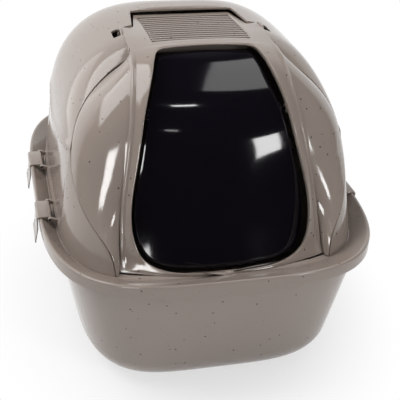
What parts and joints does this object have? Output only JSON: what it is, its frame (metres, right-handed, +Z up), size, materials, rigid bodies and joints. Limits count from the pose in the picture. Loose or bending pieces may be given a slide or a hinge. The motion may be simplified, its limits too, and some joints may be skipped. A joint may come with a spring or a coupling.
{
  "type": "covered litter box",
  "caption": "Covered litter box: deep rimmed pan, rounded hood, hinged front lid with swing door, slotted roof vent with charcoal pad, and rim clips along both sides.",
  "frame": {"origin": "middle of the footprint on the floor, under the flat bottom of the pan", "axes": "-Y towards the door at the front, +X towards the right of someone facing the front, +Z up"},
  "size_m": [0.5136, 0.642, 0.47],
  "materials": {
    "pan_plastic": "glossy recycled plastic with fine dark specks",
    "hood_plastic": "glossy recycled plastic with fine dark specks",
    "lid_plastic": "glossy recycled plastic with fine dark specks",
    "clip_plastic": "glossy recycled plastic with fine dark specks",
    "pin_plastic": "satin moulded plastic",
    "cover_plastic": "satin moulded plastic",
    "smoked_plastic": "glossy smoked plastic, almost black",
    "charcoal_pad": "fibrous charcoal pad"
  },
  "bodies": {
    "base": {"litter_pan": "pan_plastic", "hood": "hood_plastic", "lid_pin_left": "pin_plastic", "lid_pin_right": "pin_plastic", "clip_pin_front_left": "pin_plastic", "clip_pin_front_right": "pin_plastic", "clip_pin_rear_left": "pin_plastic", "clip_pin_rear_right": "pin_plastic"},
    "front_lid": {"front_lid": "lid_plastic", "charcoal_filter": "charcoal_pad", "filter_cover": "cover_plastic"},
    "swing_door": {"swing_door": "smoked_plastic"},
    "clip_front_left": {"clip_front_left": "clip_plastic"},
    "clip_front_right": {"clip_front_right": "clip_plastic"},
    "clip_rear_left": {"clip_rear_left": "clip_plastic"},
    "clip_rear_right": {"clip_rear_right": "clip_plastic"}
  },
  "joints": [
    {"name": "lid_hinge", "type": "hinge", "parent": "base", "child": "front_lid", "pos_m": [0, 0, 0.454], "axis": [-1, 0, 0], "range_deg": [0, 85]},
    {"name": "door_hinge", "type": "hinge", "parent": "front_lid", "child": "swing_door", "pos_m": [0, -0.155, 0.39], "axis": [1, 0, 0], "range_deg": [-50, 60]},
    {"name": "clip_front_left_hinge", "type": "hinge", "parent": "base", "child": "clip_front_left", "pos_m": [-0.23, -0.087, 0.217], "axis": [0, 1, 0], "range_deg": [0, 80]},
    {"name": "clip_front_right_hinge", "type": "hinge", "parent": "base", "child": "clip_front_right", "pos_m": [0.23, -0.087, 0.217], "axis": [0, -1, 0], "range_deg": [0, 80]},
    {"name": "clip_rear_left_hinge", "type": "hinge", "parent": "base", "child": "clip_rear_left", "pos_m": [-0.23, 0.087, 0.217], "axis": [0, 1, 0], "range_deg": [0, 80]},
    {"name": "clip_rear_right_hinge", "type": "hinge", "parent": "base", "child": "clip_rear_right", "pos_m": [0.23, 0.087, 0.217], "axis": [0, -1, 0], "range_deg": [0, 80]}
  ]
}
